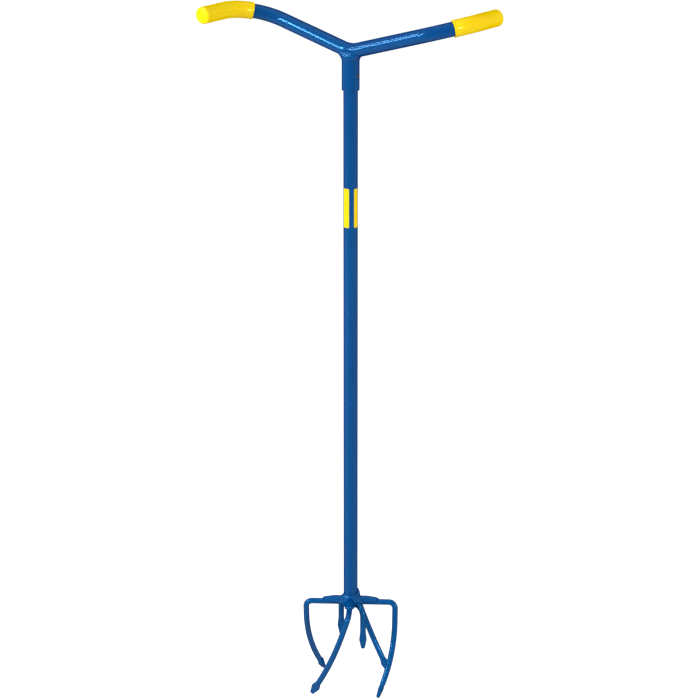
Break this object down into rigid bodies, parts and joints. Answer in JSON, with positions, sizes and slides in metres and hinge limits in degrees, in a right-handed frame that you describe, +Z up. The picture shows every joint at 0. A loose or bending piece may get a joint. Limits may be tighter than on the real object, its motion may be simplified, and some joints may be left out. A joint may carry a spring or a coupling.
{
  "type": "twist tiller",
  "caption": "Long-shafted hand tiller with a bent cross handle, two closed grips and a claw of curved, spear-pointed tines under a pressed cross plate.",
  "frame": {"origin": "on the shaft's axis, level with the lowest points of the four outer tines", "axes": "+Z up along the shaft to the handle; +X along the level bar of the right tine; +Y towards the rear tine"},
  "size_m": [0.4186, 0.137, 0.9841],
  "materials": {
    "blue_enamel": "gloss",
    "yellow_vinyl": "gloss",
    "button_steel": "polished",
    "spring_steel": "satin"
  },
  "bodies": {
    "tiller": {"shaft_tube": "blue_enamel", "handle_tube": "blue_enamel", "grip_right": "yellow_vinyl", "grip_left": "yellow_vinyl", "socket_sleeve": "blue_enamel", "sleeve_weld": "blue_enamel", "button_spring": "spring_steel", "tine_plate": "blue_enamel", "shaft_weld": "blue_enamel", "root_weld": "blue_enamel", "arm_tacks": "blue_enamel", "tine_right": "blue_enamel", "tine_rear": "blue_enamel", "tine_left": "blue_enamel", "tine_front": "blue_enamel", "inner_tine_front": "blue_enamel", "inner_tine_rear": "blue_enamel"},
    "snap_button": {"snap_button": "button_steel"}
  },
  "joints": [
    {"name": "button_press", "type": "slide", "parent": "tiller", "child": "snap_button", "axis": [-0.8796, 0.4756, 0], "range_m": [0, 0.003], "stiffness_N_per_m": 2500, "springref_m": -0.0015, "deforming": ["button_spring"]}
  ]
}
